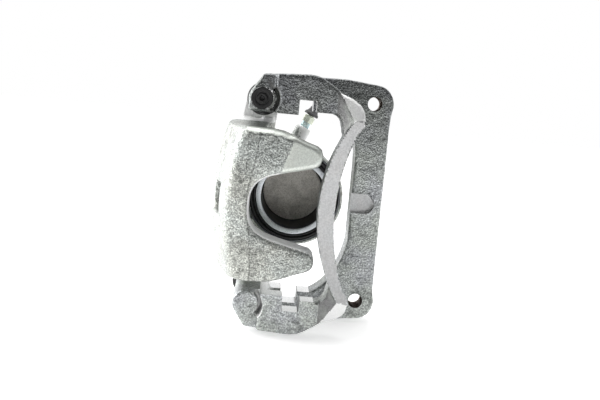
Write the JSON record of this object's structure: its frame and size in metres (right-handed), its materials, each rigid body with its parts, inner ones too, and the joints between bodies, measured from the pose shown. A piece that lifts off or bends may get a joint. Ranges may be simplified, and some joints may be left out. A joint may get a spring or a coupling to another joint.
{
  "type": "disc brake caliper",
  "caption": "Floating disc brake caliper on its anchor bracket: fingered cast housing, hollow piston with dust boot, guide pins in rubber bellows, capped bleeder screw.",
  "frame": {"origin": "midway between the two mounting holes, on the anchor bracket's inboard mounting face", "axes": "+X towards the wheel hub, +Y inboard along the hub axis, +Z along the line of the mounting holes to the bleeder's end"},
  "size_m": [0.1199, 0.134, 0.1708],
  "materials": {
    "bracket_casting": "zinc plated over rough sand-cast iron, machined faces smooth",
    "housing_casting": "zinc plated over rough sand-cast iron, machined faces smooth",
    "piston_steel": "ground and plated outside, dull grey-brown inside the cup",
    "zinc_plated_steel": "bright zinc plate with a faint blue-green tint",
    "spring_steel": "dark spring steel",
    "black_rubber": "moulded, satin",
    "grey_rubber": "moulded, matt"
  },
  "bodies": {
    "carrier": {"carrier_bracket": "bracket_casting", "guide_bore_plug": "black_rubber"},
    "housing": {"caliper_housing": "housing_casting", "piston_seal": "black_rubber", "piston_boot": "black_rubber", "boot_retaining_ring": "spring_steel", "upper_guide_pin": "zinc_plated_steel", "lower_guide_pin": "zinc_plated_steel", "upper_pin_boot": "black_rubber", "lower_pin_boot": "black_rubber", "upper_pin_bolt": "zinc_plated_steel", "lower_pin_bolt": "zinc_plated_steel", "guide_pin_bushing": "black_rubber"},
    "piston": {"piston": "piston_steel"},
    "bleeder_screw": {"bleeder_screw": "zinc_plated_steel"},
    "bleeder_cap": {"bleeder_cap": "grey_rubber"}
  },
  "joints": [
    {"name": "housing_slide", "type": "slide", "parent": "carrier", "child": "housing", "axis": [0, 1, 0], "range_m": [-0.006, 0.018], "deforming": ["upper_pin_boot", "lower_pin_boot"]},
    {"name": "piston_slide", "type": "slide", "parent": "housing", "child": "piston", "axis": [0, -1, 0], "range_m": [-0.004, 0.024], "deforming": ["piston_boot"]},
    {"name": "bleeder_turn", "type": "hinge", "parent": "housing", "child": "bleeder_screw", "pos_m": [-0.06513, 0.028, 0.00706], "axis": [0.4226, 0, 0.9063], "range_deg": [0, 180]},
    {"name": "bleeder_cap_pull", "type": "slide", "parent": "bleeder_screw", "child": "bleeder_cap", "axis": [0.4226, 0, 0.9063], "range_m": [0, 0.015]}
  ]
}
